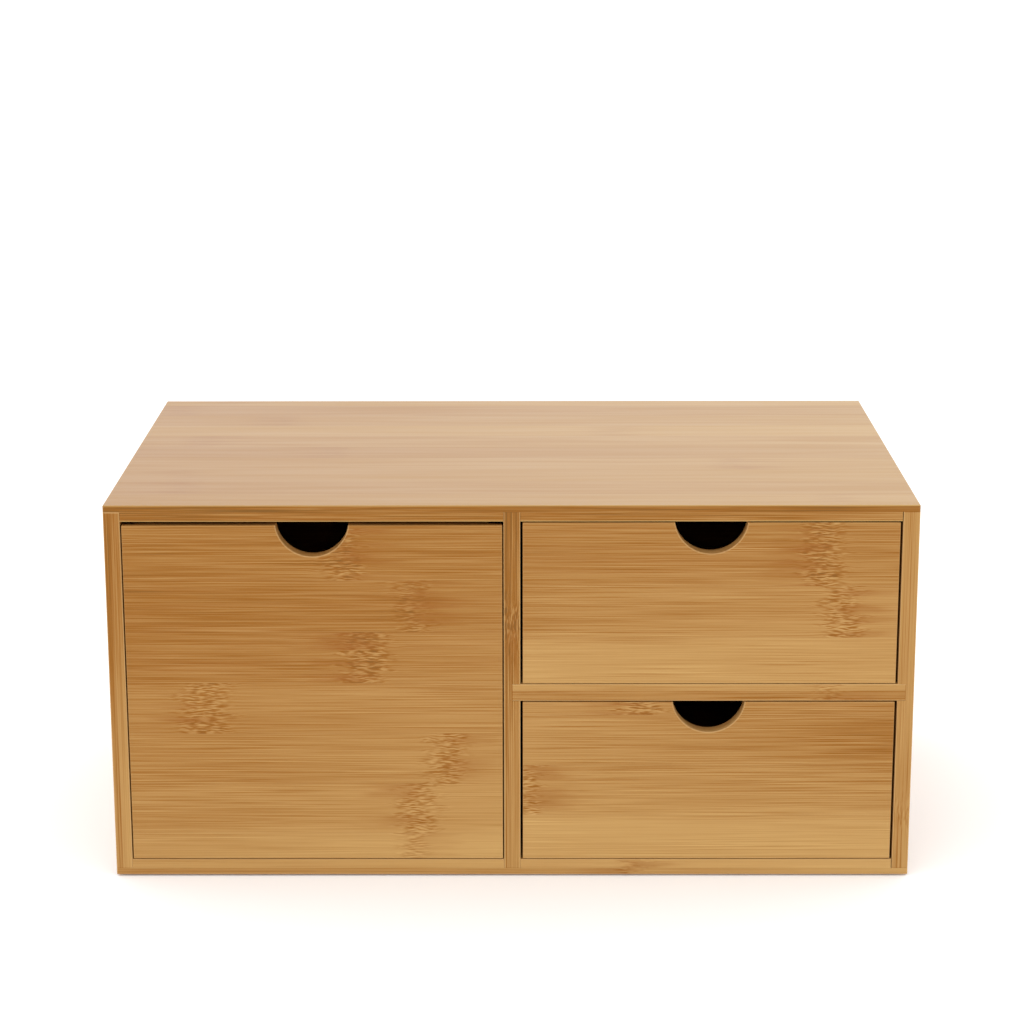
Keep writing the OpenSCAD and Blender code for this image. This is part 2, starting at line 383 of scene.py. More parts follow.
wire, given, result = node_group(
    "Strip figure by chance",
    {"Color": ["Chance"], "Float": ["Along", "Spacing"]},
    {"Float": ["Place", "Width", "Lean", "Strength", "Tone", "Rust"]})
first, second, third = wire.split(given["Chance"])
turns = wire.calc("SUBTRACT", wire.calc("DIVIDE", given["Along"], given["Spacing"]), second)
nearest = wire.calc("ADD", wire.calc("ROUND", turns), second)
wire.fill(result, {
    "Place": wire.calc("MULTIPLY", nearest, given["Spacing"]),
    "Width": wire.calc("MULTIPLY_ADD", third, WIDTH_SPREAD, WIDTH_LEAST),
    "Lean": wire.calc("SIGN", wire.calc("SUBTRACT", third, 0.5)),
    "Strength": wire.calc("MULTIPLY_ADD", first, STRENGTH_SPREAD, STRENGTH_LEAST),
    "Tone": wire.calc("MULTIPLY_ADD", third, TONE_SPREAD, TONE_LEAST),
    "Rust": wire.calc("MULTIPLY", first, RUST_MOST)})
CHANCE_FIGURE = wire.tree
print("group:", CHANCE_FIGURE.name)

# %% [markdown]
# ## Fibres
#
# Bamboo has no growth rings, so the rings of a common wood texture would be wrong. Its figure is
# thousands of straight fibre bundles, each a fraction of a millimetre thick and a few centimetres
# long where the plane cuts it. Noise that is stretched along the grain gives just that: long
# hairs on the faces and small dots on end grain.
# Three sizes are laid over each other, from fine hairs to soft bands. The bundles are darker and
# sharper than the wood between them, so the hairs are skewed to the dark side. In a knuckle the
# same noise is bent sideways, and a fourth one, short and strong, gives the dashes.

# %% Group: bamboo fibres
BEND_SIZE = (7.0, 4.5, 4.5)
BEND_STILL, BEND_KNUCKLE = 0.06, 1.3
HAIR = (60.0, 0.36, 0.36)
HAIR_SKEW = 0.9
STREAK = (90.0, 4.2, 4.2)
BAND = (220.0, 16.0, 16.0)
DASH = (4.6, 0.54, 0.54)
DASH_EDGE = 0.16
FIBRE_RAW = 0.6

wire, given, result = node_group(
    "Bamboo fibres",
    {"Vector": ["Strip point"], "Float": ["Swirl"]},
    {"Float": ["Hair", "Streak", "Band", "Dash"]})
point = given["Strip point"]
along, across, deep = wire.split(point)
bend = wire.calc("MULTIPLY_ADD", given["Swirl"], BEND_KNUCKLE, BEND_STILL)
sway = wire.calc("MULTIPLY_ADD", wire.noise(point, BEND_SIZE), bend, across)
bent = wire.join(along, sway, deep)
hair = wire.noise(bent, HAIR, detail=2.0, roughness=FIBRE_RAW)
to_dark = wire.calc("MULTIPLY_ADD", hair, -HAIR_SKEW, 1.0)
short = wire.noise(bent, DASH, detail=1.0, roughness=FIBRE_RAW)
wire.fill(result, {
    "Hair": wire.calc("MULTIPLY", hair, to_dark),
    "Streak": wire.noise(bent, STREAK, detail=1.0, roughness=FIBRE_RAW),
    "Band": wire.noise(point, BAND),
    "Dash": wire.ease(short, -DASH_EDGE, DASH_EDGE, -0.5, 0.5)})
FIBRES = wire.tree
print("group:", FIBRES.name, "hair", HAIR[1], "mm thick")

# %% [markdown]
# ## From fibres to one shade
#
# The fibres, the strip's own tone and the knuckle are added up to one number, the shade, so that
# no part of the figure can fall out of the wood's range of colours. Pale strips are also the
# calmest, so the tone weakens the fibres, and the fibres come in clumps, some streaks full of
# them and others nearly bare. A knuckle and its stain are a little darker than the rest.

# %% Group: bamboo finish, shade
MIDDLE_TONE = 0.44
HAIR_SHARE, STREAK_SHARE, BAND_SHARE, DASH_SHARE = 1.35, 0.10, 0.13, 1.00
PALE_CALM, CLUMPS = 1.2, 2.0
CORE_DARK, STAIN_DARK = 0.08, 0.08
STREAKY_LOW, STREAKY_HIGH = -0.06, 0.10

wire, given, result = node_group(
    "Bamboo finish",
    {"Vector": ["Strip point"], "Color": ["Tint"],
     "Float": ["Along", "Lines", "Edge", "Place", "Width", "Lean", "Strength", "Tone", "Rust",
               "Contrast", "Bare"]},
    {"Color": ["Colour"], "Float": ["Roughness", "Height"]})
marks = wire.group(KNUCKLE, {
    name: given[name] for name in ("Strip point", "Along", "Place", "Width", "Lean")})
core = wire.calc("MULTIPLY", marks["Core"], given["Strength"])
stain = wire.calc("MULTIPLY", marks["Stain"], given["Strength"])
swirl = wire.calc("MULTIPLY", marks["Swirl"], given["Strength"])
fibre = wire.group(FIBRES, {"Strip point": given["Strip point"], "Swirl": swirl})
dashes = wire.calc("MULTIPLY", fibre["Dash"], core)
grain = wire.calc("MULTIPLY", fibre["Hair"], HAIR_SHARE)
grain = wire.calc("MULTIPLY_ADD", fibre["Streak"], STREAK_SHARE, grain)
grain = wire.calc("MULTIPLY_ADD", fibre["Band"], BAND_SHARE, grain)
calm = wire.calc("MULTIPLY_ADD", given["Tone"], -PALE_CALM, 1.0)
calm = wire.calc("MULTIPLY_ADD", fibre["Streak"], CLUMPS, calm)
grain = wire.calc("MULTIPLY", grain, calm)
grain = wire.calc("MULTIPLY_ADD", dashes, DASH_SHARE, grain)
shade = wire.calc("ADD", given["Tone"], MIDDLE_TONE)
shade = wire.calc("MULTIPLY_ADD", grain, given["Contrast"], shade)
shade = wire.calc("MULTIPLY_ADD", core, -CORE_DARK, shade)
streaky = wire.ease(wire.calc("ADD", fibre["Streak"], fibre["Hair"]), STREAKY_LOW, STREAKY_HIGH)
stain = wire.calc("MULTIPLY", stain, streaky)
shade = wire.calc("MULTIPLY_ADD", stain, -STAIN_DARK, shade)
FINISH = wire.tree
print("group:", FINISH.name, "has", len(FINISH.nodes), "nodes up to the shade")

# %% [markdown]
# ## From the shade to colour, gloss and height
#
# Carbonised bamboo goes from a dark tan to a pale honey, and the pale parts are yellower. Making
# one brown lighter and darker would miss that, so the shade picks a colour between two ends. Rust
# is laid over it, glue lines are darkened, and eased edges are made paler: the lacquer is thin
# there and the sander has cut through the colour, and a highlight is painted on the rounded
# arris. A colour multiplied over it all can add a painted shade. The gloss follows the streaks,
# and the height has the hairs and dashes standing up and the glue lines sunk.

# %% Group: bamboo finish, surface
TAN = (0.286, 0.100, 0.002, 1.0)
HONEY = (0.585, 0.359, 0.126, 1.0)
RUST = (0.290, 0.095, 0.008, 1.0)
GLUE_BROWN = (0.160, 0.055, 0.008, 1.0)
EDGE_PALE_AND_HIGHLIGHT = (0.660, 0.430, 0.190, 1.0)
DEEP_BROWN = (0.190, 0.078, 0.006, 1.0)
DEEP_START, DEEP_END = 0.10, -0.60
CORE_RUST, STAIN_RUST = 0.16, 0.45
GLUE_SHARE, EDGE_PALE_AND_HIGHLIGHT_SHARE = 0.08, 0.45
SATIN, SATIN_SPREAD, BARE_ROUGH = 0.34, 0.16, 0.45
DASH_RISE, GLUE_SINK = 0.5, 0.4

colour = wire.mix(shade, TAN, HONEY)
colour = wire.mix(wire.ease(shade, DEEP_START, DEEP_END), colour, DEEP_BROWN)
rusty = wire.calc("MULTIPLY_ADD", core, CORE_RUST, wire.calc("MULTIPLY", stain, STAIN_RUST))
rusty = wire.calc("MULTIPLY_ADD", given["Rust"], streaky, rusty)
colour = wire.mix(rusty, colour, RUST)
colour = wire.mix(wire.calc("MULTIPLY", given["Lines"], GLUE_SHARE), colour, GLUE_BROWN)
# eased edges made paler: sanded through the colour, and a painted highlight on the rounded arris
colour = wire.mix(wire.calc("MULTIPLY", given["Edge"], EDGE_PALE_AND_HIGHLIGHT_SHARE), colour, EDGE_PALE_AND_HIGHLIGHT)
# a colour multiplied over all: the painted shade of the top board, white on other boards
colour = wire.mix(1.0, colour, given["Tint"], blend="MULTIPLY")
gloss = wire.calc("MULTIPLY_ADD", fibre["Streak"], SATIN_SPREAD, SATIN)
relief = wire.calc("MULTIPLY_ADD", dashes, DASH_RISE, fibre["Hair"])
relief = wire.calc("SUBTRACT", relief, wire.calc("MULTIPLY", given["Lines"], GLUE_SINK))
wire.fill(result, {
    "Colour": colour, "Roughness": wire.calc("MULTIPLY_ADD", given["Bare"], BARE_ROUGH, gloss),
    "Height": relief})
print("group:", FINISH.name, "has", len(FINISH.nodes), "nodes in all")

# %% [markdown]
# ## Eased edges
#
# Every board has its arrises taken off with sandpaper. The rounding is in the solids, and the
# pale line along it is in the finish: the sander cuts through the colour there, and a highlight is
# painted on it where light would catch the rounded arris. The Geometry node's pointiness could
# find the edges, but it needs a mesh with many points, and a board has few. A board is a box, so
# the distance to its edges is easy: take the distance to the nearer face along x, along y and
# along z. On a face the smallest of the three is zero, and the middle one says how far the nearest
# edge is. Ends that are let into another board are sanded flush with it, so the board's material
# moves them far away.

# %% Group: eased edges
EDGE_FULL, EDGE_NONE = 0.15, 0.65

wire, given, result = node_group(
    "Eased edges", {"Vector": ["Point", "Low", "High"]}, {"Float": ["Edge"]})
from_low = wire.vector("SUBTRACT", given["Point"], given["Low"])
from_high = wire.vector("SUBTRACT", given["High"], given["Point"])
near_x, near_y, near_z = wire.split(wire.vector("MINIMUM", from_low, from_high))
smaller = wire.calc("MINIMUM", near_x, near_y)
larger = wire.calc("MAXIMUM", near_x, near_y)
middle = wire.calc("MAXIMUM", smaller, wire.calc("MINIMUM", larger, near_z))
wire.fill(result, {"Edge": wire.ease(middle, EDGE_FULL, EDGE_NONE, 1.0, 0.0)})
EASED_EDGES = wire.tree
print("group:", EASED_EDGES.name)

# %% [markdown]
# ## The rim of a finger notch
#
# The notch is cut after the board is sanded and lacquered on its faces, so its rim is pale, and a
# highlight is painted along it as well, where light would catch its rounded arris. The eased edges
# know only a box, not a round cut, so this rim goes by the distance from the notch's own axis. It
# fades inside the cut, which the hole saw leaves a little scorched and red.

# %% Group: notch rim
RIM_FULL, RIM_NONE = 0.25, 0.62
CUT_PALE = 0.10
WITHOUT_Y = (1.0, 0.0, 1.0)

wire, given, result = node_group(
    "Notch rim",
    {"Vector": ["Point", "Centre"], "Float": ["Radius", "Inside"]}, {"Float": ["Rim"]})
offset = wire.vector("SUBTRACT", given["Point"], given["Centre"])
flat = wire.vector("MULTIPLY", offset, WITHOUT_Y)
away = wire.node("VectorMath", {0: flat}, operation="LENGTH").outputs["Value"]
past = wire.calc("SUBTRACT", away, given["Radius"])
rim = wire.ease(past, RIM_FULL, RIM_NONE, 1.0, 0.0)
rim = wire.calc("MULTIPLY", rim, wire.calc("MULTIPLY_ADD", given["Inside"], CUT_PALE - 1.0, 1.0))
wire.fill(result, {"Rim": rim})
NOTCH_RIM = wire.tree
print("group:", NOTCH_RIM.name)

# %% [markdown]
# ## The grain frame of a board
#
# The texture wants x along the grain, and the boards of a chest lie in all directions. Turning
# the boards would move them, so the texture is turned instead. Three letters say which axis of the
# chest runs along the grain, across the strips and through the layers.

# %% Helper: grain frame
AXES = {"x": (1, 0, 0), "y": (0, 1, 0), "z": (0, 0, 1)}


def grain_turn(order):
    """The rotation that lays the axes, named in the order along, across and deep, on x, y and z."""
    rows = Matrix([AXES[letter] for letter in order])
    if rows.determinant() < 0:
        rows[2] = -rows[2]
    return rows


def board_range(node, turned, axis):
    """Where the board starts and ends along one axis of its grain frame, in mm."""
    ends = [(turned @ corner)[axis] * PER_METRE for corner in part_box(node)]
    return min(ends), max(ends)


top_length = board_range("top_board", grain_turn("xyz"), 0)
print("the top board's grain runs from", [round(end, 1) for end in top_length], "mm")

# %% [markdown]
# ## Which face is which
#
# The faces of one board differ. The broad ones are planed, the narrow ones cut across the layers,
# and the ends drink more lacquer. Materials could be given to faces one by one, but these come
# from the solids and have no names. So masks tell the faces apart by how deep a point lies under
# the board's outline.

# %% Helpers: masks for the faces
NARROW_FACE = (0.25, 0.70)
END_FACE = (0.05, 0.30)
FAR = 1000.0


def face_masks(wire, along, deep, length, thickness):
    """Two masks: 1 on narrow faces and cuts, and 1 on the ends. length and thickness are where the
    board starts and ends along its grain and through its layers, in mm."""
    from_middle = wire.calc("ABSOLUTE", wire.calc("SUBTRACT", deep, sum(thickness) / 2))
    half = (thickness[1] - thickness[0]) / 2
    narrow = wire.ease(wire.calc("SUBTRACT", half, from_middle), *NARROW_FACE)
    from_start = wire.calc("SUBTRACT", along, length[0])
    to_end = wire.calc("SUBTRACT", length[1], along)
    ends = wire.ease(wire.calc("MINIMUM", from_start, to_end), *END_FACE, 1.0, 0.0)
    return narrow, ends


def bare_mask(wire, bare, show_face, narrow, deep, thickness):
    """1 where the wood has no lacquer: on the narrow faces, the broad ones or the back one."""
    if bare == "narrow":
        return narrow
    broad = wire.calc("SUBTRACT", 1.0, narrow)
    if bare == "broad":
        return broad
    behind = "LESS_THAN" if show_face == "high" else "GREATER_THAN"
    return wire.calc("MULTIPLY", broad, wire.calc(behind, deep, sum(thickness) / 2))


def edge_mask(wire, node, place_mm, joined):
    """1 along the eased edges of the board, but not at the ends that are named as joined."""
    low, high = [corner * PER_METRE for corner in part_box(node)]
    low = low - Vector([FAR if axis in joined else 0.0 for axis in "xyz"])
    high = high + Vector([FAR if axis in joined else 0.0 for axis in "XYZ"])
    return wire.group(EASED_EDGES, {"Point": place_mm, "Low": low, "High": high})["Edge"]


print("face masks ready")

# %% [markdown]
# ## A knuckle on the front edge
#
# The front edges of the case are narrow, but they are what one sees first. So a board may name
# one knuckle that shows there. It takes the place of the one that chance would draw, but only in
# the few millimetres of wood behind the edge.

# %% Helper: knuckle on the front edge
EDGE_REACH = 6.0


def marked_edge(wire, strip, across, mark):
    """The strip's figure, with a chosen knuckle in the wood behind the front edge."""
    front = wire.calc("LESS_THAN", across, FRONT_Y * PER_METRE + EDGE_REACH)
    chosen = dict(zip(("Place", "Width", "Strength"), mark))
    figure = {name: strip[name] for name in ("Lean", "Tone", "Rust")}
    for name, value in chosen.items():
        change = wire.calc("MULTIPLY", front, wire.calc("SUBTRACT", value, strip[name]))
        figure[name] = wire.calc("ADD", strip[name], change)
    return figure


print("front edge at y", round(FRONT_Y * PER_METRE, 1), "mm")

# %% [markdown]
# ## One material for each board
#
# Boards are cut from different sheets and lie in different ways. One material for all would run
# its grain the same way through every board. So the groups are shared, and each board gets a
# small material of its own that says how it lies: which axis the grain follows, where its first
# seam is, and where the two layers meet. End grain drinks more lacquer than the faces do, so it
# is darker and redder.

# %% Board material
FACE_PLY = 3.0
DRIFT_LENGTH = 100.0
END_DARK, END_RUST = 0.35, 0.30
# how pale the notch rim is made: paler cut wood, and a painted highlight on its arris
RIM_RUB_AND_HIGHLIGHT, CUT_RUST = 0.85, 0.30
BUMP_STRENGTH, BUMP_DEPTH = 0.35, 0.06 * MM
LACQUER_IOR = 1.32


def bamboo_material(node, order, seed, first_seam, tone, contrast=(1.0, 1.0), show_face="high",
                    ply=FACE_PLY, figure=None, spacing=260.0, notch=None, joined="",
                    bare="back", painted_shade_tint=WHITE, edge_mark=None, rub_and_highlight=1.0, drift=0.0, motley=1.0):
    """Laminated bamboo for one board. tone is for its face layer, its core and its narrow faces,
    contrast for its broad and narrow faces. show_face is the side of the face layer, ply its
    thickness. figure wires a chosen figure, or else chance draws one, with its knuckles spacing
    apart. notch is the middle and radius of a finger notch. joined names the ends that are let in,
    small letters for the low end of an axis, capitals for the high one. bare names the faces
    without lacquer. painted_shade_tint multiplies the broad ones by a colour, a painted shade that
    makes them a little darker. edge_mark is the place, width and strength of the knuckle on the
    front edge, rub_and_highlight how pale the edges are made, sanded pale and painted as a
    highlight, drift how much lighter the board gets over 100 mm along its grain, and motley how
    much its strips differ from each other."""
    material, wire, shader = new_material("bamboo " + node.replace("_", " "))
    turned = grain_turn(order)
    length = board_range(node, turned, 0)
    thickness = board_range(node, turned, 2)
    glue_line = thickness[1] - ply if show_face == "high" else thickness[0] + ply
    place_mm = wire.object_mm()
    grain = wire.node("Mapping", {"Vector": place_mm, "Rotation": turned.to_euler()}).outputs[0]
    layout = wire.group(STRIP_LAYOUT, {"Point": grain, "First seam": first_seam,
                                       "Glue line": glue_line, "Seed": seed})
    along, across, deep = wire.split(grain)
    narrow, ends = face_masks(wire, along, deep, length, thickness)
    if figure is None:
        strip = wire.group(CHANCE_FIGURE, {"Chance": layout["Chance"], "Along": along,
                                           "Spacing": spacing})
    else:
        strip = figure(wire, layout, along)
    if edge_mark is not None:
        strip = marked_edge(wire, strip, across, edge_mark)
    upper_tone, lower_tone = tone[:2] if show_face == "high" else reversed(tone[:2])
    board_tone = wire.calc("MULTIPLY_ADD", layout["Face"], upper_tone - lower_tone, lower_tone)
    board_tone = wire.calc("MULTIPLY_ADD", narrow, tone[2], board_tone)
    from_centre = wire.calc("SUBTRACT", along, sum(length) / 2)
    board_tone = wire.calc("MULTIPLY_ADD", from_centre, drift / DRIFT_LENGTH, board_tone)
    board_tone = wire.calc("MULTIPLY_ADD", ends, -END_DARK, board_tone)
    # the pale eased edges: sanded wood, and a painted highlight where light would catch the arris
    edge = wire.calc("MULTIPLY", edge_mask(wire, node, place_mm, joined), rub_and_highlight)
    rust = wire.calc("MULTIPLY_ADD", ends, END_RUST, strip["Rust"])
    if notch is not None:
        centre, radius = notch
        rim = wire.group(NOTCH_RIM, {"Point": place_mm, "Centre": centre, "Radius": radius,
                                     "Inside": narrow})["Rim"]
        # the notch rim: paler wood, and a painted highlight on its rounded arris
        edge = wire.calc("MAXIMUM", edge, wire.calc("MULTIPLY", rim, RIM_RUB_AND_HIGHLIGHT))
        rust = wire.calc("MULTIPLY_ADD", narrow, CUT_RUST, rust)
    finish = wire.group(FINISH, {
        "Strip point": layout["Strip point"], "Along": along, "Lines": layout["Lines"],
        "Edge": edge, "Rust": rust,
        "Place": strip["Place"], "Width": strip["Width"], "Lean": strip["Lean"],
        "Strength": wire.calc("MULTIPLY", strip["Strength"], motley),
        "Tone": wire.calc("MULTIPLY_ADD", strip["Tone"], motley, board_tone),
        "Contrast": wire.calc("MULTIPLY_ADD", narrow, contrast[1] - contrast[0], contrast[0]),
        "Bare": bare_mask(wire, bare, show_face, narrow, deep, thickness),
        # on the broad faces this colour multiplies in a painted shade
        "Tint": painted_shade_tint if painted_shade_tint == WHITE else wire.mix(narrow, painted_shade_tint, WHITE)})
    wire.fill(shader, {
        "Base Color": finish["Colour"], "Roughness": finish["Roughness"], "IOR": LACQUER_IOR,
        "Normal": wire.bump(finish["Height"], BUMP_STRENGTH, BUMP_DEPTH)})
    return material


print("board material ready")

# %% [markdown]
# ## The case
#
# The top, bottom and shelf run their grain from side to side, and the uprights from bottom to
# top, which is why the front edges of the uprights show upright streaks. The top board is the
# calmest of all, since the maker keeps the most even sheet for it. Tones and seams could be drawn
# by chance too, but boards that meet have to suit each other, so they are listed. A knuckle of
# strength 0 keeps a front edge free of any.

# %% Dress the case
CASE_BOARDS = {
    # The top board's broad faces are multiplied by a colour that makes them a little darker and
    # yellower: a painted shade.
    "top_board": dict(order="xyz", seed=3.0, first_seam=4.0, tone=(-0.05, 0.22, -0.52),
                      contrast=(0.15, 1.4), painted_shade_tint=(0.96, 1.00, 0.94, 1.0), spacing=420.0,
                      edge_mark=(0.0, 8.0, 0.0), rub_and_highlight=0.6, drift=0.06, motley=0.55),
    "bottom_board": dict(order="xyz", seed=5.0, first_seam=9.0, tone=(0.0, 0.0, 0.22),
                         contrast=(1.0, 1.1), show_face="low", edge_mark=(51.0, 7.0, 0.7),
                         drift=0.10),
    "left_side_board": dict(order="zyx", seed=7.0, first_seam=2.0, tone=(-0.15, 0.14, -0.03),
                            contrast=(1.0, 1.1), joined="z", edge_mark=(0.0, 8.0, 0.0),
                            drift=-0.35),
    "right_side_board": dict(order="zyx", seed=9.0, first_seam=12.0, tone=(0.0, 0.0, -0.05),
                             contrast=(1.0, 1.2), joined="zZ", show_face="low",
                             edge_mark=(30.0, 8.0, 0.35)),
    "centre_divider": dict(order="zyx", seed=11.0, first_seam=7.0, tone=(-0.01, 0.10, -0.24),
                           contrast=(1.0, 1.4), joined="zZ", bare="broad",
                           edge_mark=(116.0, 14.0, 0.75), drift=-0.40),
    "shelf_board": dict(order="xyz", seed=13.0, first_seam=15.0, tone=(0.22, -0.20, -0.08),
                        contrast=(1.0, 1.2), joined="xX", bare="broad",
                        edge_mark=(139.0, 6.0, 0.65)),
    "back_panel": dict(order="xzy", seed=15.0, first_seam=6.0, tone=(0.2, 0.2, 0.0), ply=1.3,
                       bare="broad"),
}


def dress(node, material):
    """Puts a material on a piece that came with the frame."""
    if not nodes[node].material_slots:
        nodes[node].data.materials.append(material)
    for slot in nodes[node].material_slots:
        slot.material = material


for node, lay in CASE_BOARDS.items():
    dress(node, bamboo_material(node, **lay))
print("case boards dressed:", len(CASE_BOARDS))

# %% [markdown]
# ## The strips of the drawer fronts
#
# The fronts are what one looks at, so chance has no say there and their figure is chosen strip by
# strip. Each line below is one strip, from the bottom up: where its knuckle is, in millimetres
# from the middle of the chest, how wide it is, to which side the stain lies, how strong it is, how
# light the strip is, how rusty, and how much lighter it gets over 100 mm to the right, because a
# stem is never one colour from end to end. The tones are partly the strips' own and partly a
# painted shade: they grow darker from the bottom strip up, as if the pale floor lit the lower part
# of each front more.

# %% Strips of the fronts
# each strip: place, width, lean of the stain, strength, tone with the painted shade that darkens
# the upper strips, rust, drift
FRONT_STRIPS = {
    "tall": dict(first_seam=20.2, middle=-86.0, contrast=(1.0, 1.0), strips=[
        (-44.0, 9.0, 1, 0.7, 0.23, 0.0, 0.20),
        (-41.0, 14.0, -1, 0.8, 0.02, 0.0, 0.16),
        (-28.0, 14.0, 1, 0.8, -0.08, 0.0, 0.12),
        (-133.0, 19.0, -1, 0.75, -0.10, 0.1, 0.06),
        (-64.0, 18.0, -1, 1.0, -0.18, 0.2, 0.11),
        (-43.0, 10.0, 1, 0.8, -0.25, 0.2, 0.12),
        (-73.0, 14.0, 1, 0.9, -0.26, 0.1, 0.03),
        (60.0, 10.0, 1, 0.0, -0.26, 0.0, 0.0),
    ]),
    "upper": dict(first_seam=87.0, middle=86.0, contrast=(1.15, 1.0), strips=[
        (-175.0, 12.0, 1, 0.0, 0.20, 0.0, 0.0),
        (-175.0, 12.0, 1, 0.0, 0.16, 0.0, -0.05),
        (143.0, 14.0, 1, 0.8, -0.02, 0.1, 0.14),
        (134.0, 13.0, -1, 0.9, -0.16, 0.2, 0.04),
        (134.0, 13.0, -1, 0.9, -0.16, 0.2, 0.04),
    ]),
    "lower": dict(first_seam=28.7, middle=86.0, contrast=(1.3, 1.0), strips=[
        (-175.0, 12.0, 1, 0.0, 0.31, 0.0, -0.02),
        (6.0, 8.0, 1, 0.9, 0.03, 0.0, -0.05),
        (-175.0, 12.0, 1, 0.0, -0.10, 0.1, -0.20),
        (55.0, 16.0, -1, 0.8, -0.08, 0.2, -0.06),
        (-175.0, 12.0, 1, 0.0, 0.00, 0.0, 0.0),
    ]),
}
print("strips listed:", {drawer: len(lay["strips"]) for drawer, lay in FRONT_STRIPS.items()})

# %% [markdown]
# ## Handing the numbers out by strip
#
# A material can't read a list, but a colour ramp is one: each stop holds three numbers. Three ramps
# take the strip that a point is in and give back its numbers. The knuckles change with a hard step
# at each seam, while the tones slide into each other over a few millimetres, because a good
# maker sorts the strips so that neighbours match.

# %% Helpers: ramps by strip
MIDDLE_TO_END = 175.0
WIDEST = 40.0
STRIPS_MOST = 9
LOWEST_ROW = -1.0
SEAM_BLEND = 0.2


def strip_ramp(wire, rows_up, colours, blend=0.0):
    """A colour ramp with one colour for each strip. It steps from one to the next at the seam, or
    slides there, from that share of a strip before the seam to the same share behind it."""
    ramp = wire.node("ValToRGB", {0: wire.calc("DIVIDE", rows_up, STRIPS_MOST)})
    ramp.color_ramp.interpolation = "LINEAR" if blend else "CONSTANT"
    ends = (blend, 1.0 - blend) if blend else (0.0,)
    wanted = [(number + end, colour) for number, colour in enumerate(colours) for end in ends]
    stops = ramp.color_ramp.elements
    for number, (place, colour) in enumerate(wanted):
        stop = stops[number] if number < len(stops) else stops.new(place / STRIPS_MOST)
        stop.position = place / STRIPS_MOST
        stop.color = (*colour, 1.0)
    return wire.split(ramp.outputs[0])


def chosen_figure(strips, middle):
    """A function that wires the chosen figure of one front. The ramps hold numbers from 0 to 1, so
    each is fitted into that range and taken out of it again."""
    where = [((place + MIDDLE_TO_END) / (2 * MIDDLE_TO_END), width / WIDEST, lean * 0.5 + 0.5)
             for place, width, lean, *rest in strips]
    strong = [(strength, 0.0, 0.0) for *rest, strength, tone, rust, drift in strips]
    hue = [(tone + 0.5, rust, drift + 0.5) for *rest, tone, rust, drift in strips]

    def figure(wire, layout, along):
        row_middle = wire.calc("ADD", layout["Row"], 0.5 - LOWEST_ROW)
        place, width, lean = strip_ramp(wire, row_middle, where)
        strength = strip_ramp(wire, row_middle, strong)[0]
        rows_up = wire.calc("ADD", layout["Rows up"], -LOWEST_ROW)
        tone, rust, drift = strip_ramp(wire, rows_up, hue, SEAM_BLEND)
        drift = wire.calc("SUBTRACT", drift, 0.5)
        from_middle = wire.calc("DIVIDE", wire.calc("SUBTRACT", along, middle), DRIFT_LENGTH)
        tone = wire.calc("MULTIPLY_ADD", drift, from_middle, tone)
        return {
            "Place": wire.calc("MULTIPLY_ADD", place, 2 * MIDDLE_TO_END, -MIDDLE_TO_END),
            "Width": wire.calc("MULTIPLY", width, WIDEST),
            "Lean": wire.calc("MULTIPLY_ADD", lean, 2.0, -1.0),
            "Strength": strength, "Tone": wire.calc("SUBTRACT", tone, 0.5), "Rust": rust}
    return figure


print("ramps have room for", STRIPS_MOST, "strips")

# %% [markdown]
# ## The drawer fronts
#
# Each front is one board with a round finger notch, an arc whose centre lies a little above its
# top edge. The centre could be typed in three times, but worked out from the front's own box it
# follows the drawer.

# %% Dress the fronts
NOTCH_RADIUS = 15.8
NOTCH_RISE = 2.0
FRONT_SEED = 20.0
FRONT_TONE = (0.0, 0.0, 0.25)
# how pale the fronts' eased edges are: sanding, and a painted highlight
FRONT_RUB_AND_HIGHLIGHT = 0.3

for number, (drawer, lay) in enumerate(FRONT_STRIPS.items()):
    node = drawer + "_drawer_front"
    low, high = [corner * PER_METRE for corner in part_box(node)]
    centre = ((low.x + high.x) / 2, low.y, high.z + NOTCH_RISE)
    dress(node, bamboo_material(node, "xzy", FRONT_SEED + number, lay["first_seam"],
                                tone=FRONT_TONE, contrast=lay["contrast"], rub_and_highlight=FRONT_RUB_AND_HIGHLIGHT,
                                bare="narrow", notch=(centre, NOTCH_RADIUS),
                                figure=chosen_figure(lay["strips"], lay["middle"])))
print("fronts dressed:", len(FRONT_STRIPS))

# %% [markdown]
# ## The drawer boxes
#
# Sides, backs and bottoms are cut from thinner sheets of the same bamboo, and the bottoms are the
# palest. Their grain runs the long way of each board. Nobody lacquers the inside of a drawer, so
# their broad faces are bare. Their strips could be listed like those of the fronts, but they are
# seldom seen, so chance draws them.

# %% Dress the drawer boxes
BOX_BOARDS = {"left_side": "yzx", "right_side": "yzx", "back": "xzy", "bottom": "xyz"}
BOX_SEED, SEED_STEP, SEAM_STEP = 40.0, 7.0, 3.0
BOX_TONE, BOTTOM_TONE = (0.08, 0.05, 0.0), (0.30, 0.30, 0.0)
BOTTOM_PLY = 1.0

for drawer in FRONT_STRIPS:
    for number, (board, order) in enumerate(BOX_BOARDS.items()):
        node = drawer + "_drawer_" + board
        seed = BOX_SEED + SEED_STEP * number + len(drawer)
        thin = board == "bottom"
        dress(node, bamboo_material(node, order, seed, first_seam=SEAM_STEP * number,
                                    tone=BOTTOM_TONE if thin else BOX_TONE,
                                    ply=BOTTOM_PLY if thin else FACE_PLY, bare="broad"))
print("drawer boards dressed:", len(BOX_BOARDS) * len(FRONT_STRIPS))

# %% [markdown]
# ## Turned shapes
#
# Pads and brads are both round, so both are an outline turned about an axis. Blender's Screw
# modifier could do it, but rings of points worked out from the formula close at the poles by
# themselves and leave no doubled point.

